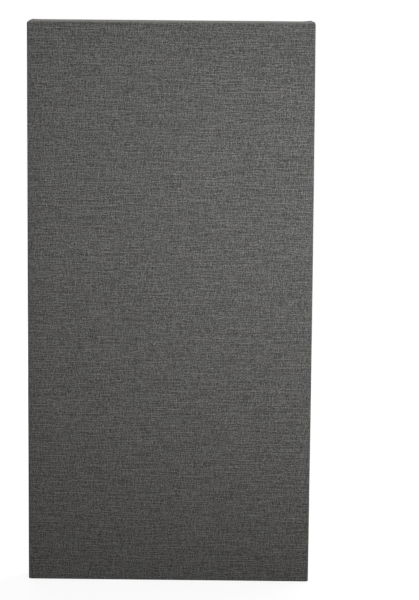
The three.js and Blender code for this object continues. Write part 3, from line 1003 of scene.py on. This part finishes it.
def makeStrap(material, hand, axisPlace):
    node = "strap_" + hand
    low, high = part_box(node)
    sheet = hanger["sheet"]
    barrel = hanger["wire"] / 2 + hanger["runningGap"] + sheet / 2
    innerY = low.y + sheet / 2
    outerY = innerY + sheet + hanger["layerGap"]
    bm = bmesh.new()
    foot = bm.verts.new((low.x, innerY, low.z))
    path = bmesh.ops.extrude_vert_indiv(bm, verts=[foot])["verts"]
    bmesh.ops.translate(bm, vec=(0, 0, axisPlace.z - low.z), verts=path)
    under = math.degrees(math.acos((outerY - axisPlace.y) / barrel))
    turned = bmesh.ops.spin(
        bm, geom=path, cent=(low.x, axisPlace.y, axisPlace.z), axis=(1, 0, 0), dvec=(0, 0, 0),
        angle=-math.radians(180 + under), steps=hanger["bendSteps"], use_duplicate=False)
    last = onlyVerts(turned["geom_last"])
    tail = bmesh.ops.extrude_vert_indiv(bm, verts=last)["verts"]
    bmesh.ops.translate(bm, vec=(0, 0, low.z - tail[0].co.z), verts=tail)
    widened = bmesh.ops.extrude_edge_only(bm, edges=bm.edges[:])["geom"]
    bmesh.ops.translate(bm, vec=(high.x - low.x, 0, 0), verts=onlyVerts(widened))
    bmesh.ops.remove_doubles(bm, verts=bm.verts, dist=weldReach)
    corners = [vert for vert in bm.verts if vert.co.z < low.z + 10 * weldReach]
    roundOff(bm, corners, hanger["tailRadius"], hanger["tailSteps"], affect="VERTICES")
    piece = finishPiece(bm, "hanger_strap_" + hand, material, "panel", sharpAngle=50)
    giveThickness(piece, sheet, 0)
    edges = piece.modifiers.new("burrOff", "BEVEL")
    edges.width = hanger["burr"]
    edges.segments = hanger["burrSteps"]
    edges.limit_method = "ANGLE"
    edges.angle_limit = math.radians(hanger["burrAngle"])
    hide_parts(node)


def makeRing(material, hand, axisPlace):
    wire = hanger["wire"]
    side = (hanger["ringWidth"] + wire) / 2
    corner, reach, butt = hanger["cornerRadius"], hanger["reach"], hanger["buttGap"] / 2
    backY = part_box("ring_" + hand)[1].y
    roundShare = 0.55  # a Bezier handle's reach for a quarter of a circle
    drop = roundShare * (reach - corner)
    # each row: point, handle before and handle after, drawn flat around the turning axis
    half = [
        ((butt, 0), (butt, 0), (side / 2, 0)),
        ((side - corner, 0), (side / 2, 0), (side - corner / 3, 0)),
        ((side, -corner), (side, -corner / 3), (side, -corner - drop)),
        ((0, -reach), (roundShare * side, -reach), (-roundShare * side, -reach)),
    ]
    mirrored = [
        tuple((-x, z) for x, z in (place, after, before))
        for place, before, after in reversed(half[:3])
    ]
    curve = bpy.data.curves.new("ringWire", "CURVE")
    curve.dimensions = "3D"
    curve.bevel_depth = wire / 2
    curve.bevel_resolution = hanger["wireSteps"]
    curve.resolution_u = hanger["pathSteps"]
    curve.use_fill_caps = True
    spline = curve.splines.new("BEZIER")
    spline.bezier_points.add(len(half) + len(mirrored) - 1)
    for point, (place, before, after) in zip(spline.bezier_points, half + mirrored):
        point.handle_left_type = point.handle_right_type = "FREE"
        point.co = (place[0], 0, place[1])
        point.handle_left = (before[0], 0, before[1])
        point.handle_right = (after[0], 0, after[1])
    drawn = addObject("ringWire", curve)
    mesh = shapedMesh(drawn)
    bpy.data.objects.remove(drawn)
    # the ring hangs against its strap, a little off the vertical, as the frame has it
    lean = math.asin((backY - wire / 2 - axisPlace.y) / reach)
    mesh.transform(Matrix.Translation(axisPlace) @ Matrix.Rotation(lean, 4, "X"))
    bm = bmesh.new()
    bm.from_mesh(mesh)
    name = "hanger_ring_" + hand
    piece = finishPiece(bm, name, material, name, sharpAngle=60)
    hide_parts("ring_" + hand)


# Turns a profile of radius and y around an axis along Y. The profile starts and ends on the axis.
def lathe(bm, profile, centre, steps):
    previous = None
    for radius, y in profile:
        place = centre + Vector((radius, y - centre.y, 0))
        if previous is None:
            previous = bm.verts.new(place)
        else:
            previous = bmesh.ops.extrude_vert_indiv(bm, verts=[previous])["verts"][0]
            previous.co = place
    bmesh.ops.spin(
        bm, geom=bm.verts[:] + bm.edges[:], cent=centre, axis=(0, 1, 0), dvec=(0, 0, 0),
        angle=math.radians(360), steps=steps, use_merge=True, use_duplicate=False)


panScrew = {
    "head": 0.007,
    "dome": 0.0022,
    "rimChamfer": 0.0002,
    "rimHeight": 0.0004,
    "shank": 0.0035,
    "point": 0.004,
    "domeSteps": 9,
    "turnSteps": 32,
    "sharpAngle": 40,
    "recessSpan": 0.0038,
    "recessWidth": 0.0009,
    "recessDepth": 0.0015,
    "recessFloor": (0.45, 1, 0.7),  # how much smaller the recess is at its floor
    "turns": {"left_upper": 25, "left_lower": -8, "right_upper": -12, "right_lower": 38},
}


# Two crossed blades that cut the recess in a screw's head.
def crossCutter(centre, outerY, turn):
    blade = (panScrew["recessSpan"], 2 * panScrew["recessDepth"], panScrew["recessWidth"])
    bm = bmesh.new()
    for quarter in (0, 90):
        made = bmesh.ops.create_cube(bm, size=1)["verts"]
        bmesh.ops.scale(bm, vec=blade, verts=made)
        deep = [vert for vert in made if vert.co.y < 0]
        bmesh.ops.scale(bm, vec=panScrew["recessFloor"], verts=deep)
        bmesh.ops.rotate(bm, matrix=Matrix.Rotation(math.radians(quarter), 3, "Y"), verts=made)
    bmesh.ops.translate(bm, vec=(centre.x, outerY, centre.z), verts=bm.verts)
    bmesh.ops.recalc_face_normals(bm, faces=bm.faces)
    cutter = addObject("crossCutter", meshFrom(bm, "crossCutter"))
    spun = Matrix.Translation(centre) @ Matrix.Rotation(math.radians(turn), 4, "Y")
    cutter.data.transform(spun @ Matrix.Translation(-centre))
    return cutter


def makeScrew(material, hand, level):
    node = f"strap_screw_{hand}_{level}"
    low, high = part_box(node)
    centre = (low + high) / 2
    head, shank = panScrew["head"] / 2, panScrew["shank"] / 2
    chamfer, rim = panScrew["rimChamfer"], panScrew["rimHeight"]
    dome, steps = panScrew["dome"], panScrew["domeSteps"]
    seat = high.y - dome
    arc = [
        (head * math.cos(angle), seat + rim + (dome - rim) * math.sin(angle))
        for angle in (math.pi / 2 * i / steps for i in range(steps))
    ]
    profile = [
        (0, low.y), (shank, low.y + panScrew["point"]), (shank, seat), (head - chamfer, seat),
        (head, seat + chamfer), *arc, (0, high.y),
    ]
    bm = bmesh.new()
    lathe(bm, profile, centre, panScrew["turnSteps"])
    name = f"pan_screw_{hand}_{level}"
    sharpAngle = panScrew["sharpAngle"]
    piece = finishPiece(bm, name, material, "panel", sharpAngle)
    cutter = crossCutter(centre, high.y, panScrew["turns"][f"{hand}_{level}"])
    recess = piece.modifiers.new("crossRecess", "BOOLEAN")
    recess.operation = "DIFFERENCE"
    recess.solver = "EXACT"
    recess.use_self = True  # the cutter's two blades cross
    recess.object = cutter
    mesh = shapedMesh(piece)
    piece.modifiers.clear()
    bpy.data.objects.remove(cutter)
    piece.data = mesh
    mesh.set_sharp_from_angle(angle=math.radians(sharpAngle))
    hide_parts(node)


bumper = {
    "topShare": 0.756,  # how wide the flat top is with its rim, next to the foot
    "topRadius": 0.0016,
    "footRadius": 0.0006,
    "rimSteps": 7,
    "turnSteps": 48,
}


def makeBumper(material, hand):
    node = "bumper_" + hand
    low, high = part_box(node)
    centre = (low + high) / 2
    wide = (high.x - low.x) / 2
    rim, foot = bumper["topRadius"], bumper["footRadius"]
    inner = wide * bumper["topShare"] - rim
    steps = bumper["rimSteps"]
    arc = [
        (inner + rim * math.cos(angle), high.y - rim + rim * math.sin(angle))
        for angle in (math.pi / 2 * i / steps for i in range(steps + 1))
    ]
    profile = [
        (0, low.y), (wide - foot / 2, low.y), (wide, low.y + foot / 2), (wide, low.y + foot),
        *arc, (0, high.y),
    ]
    bm = bmesh.new()
    lathe(bm, profile, centre, bumper["turnSteps"])
    piece = finishPiece(bm, "wall_bumper_" + hand, material, "panel", sharpAngle=40)
    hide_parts(node)


def dressNode(name, material):
    node = frame["nodes"][name]
    node.data.materials.clear()
    node.data.materials.append(material)


makeCamera()
makeLamps()
makeWorld()
makeFloor()
bpy.context.scene.view_settings.view_transform = "Standard"
print("studio ready")

makeClothWrap(makeCloth())
makeFoamCore(makeFoam())
makeDustCover(makeDustSheet())
steelMaterial = makeZincSteel()
makeStaples(steelMaterial)
rubberMaterial = makeRubber()
for joint in frame["joints"]:
    hand = joint["name"].split("_")[1]
    axisPlace = Vector(joint["pos_m"])
    makeStrap(steelMaterial, hand, axisPlace)
    makeRing(steelMaterial, hand, axisPlace)
    makeScrew(steelMaterial, hand, "upper")
    makeScrew(steelMaterial, hand, "lower")
    makeBumper(rubberMaterial, hand)
print("hangers and bumpers ready")

uprightPine = makePine("uprightPine", "z")
crossPine = makePine("crossPine", "x")
for name in ("stile_left", "stile_right"):
    dressNode(name, uprightPine)
for name in ("rail_top", "rail_bottom", "cross_brace"):
    dressNode(name, crossPine)
gussetPlywood = makePlywood()
for corner in ("top_left", "top_right", "bottom_left", "bottom_right"):
    dressNode("gusset_" + corner, gussetPlywood)
print("timber ready")
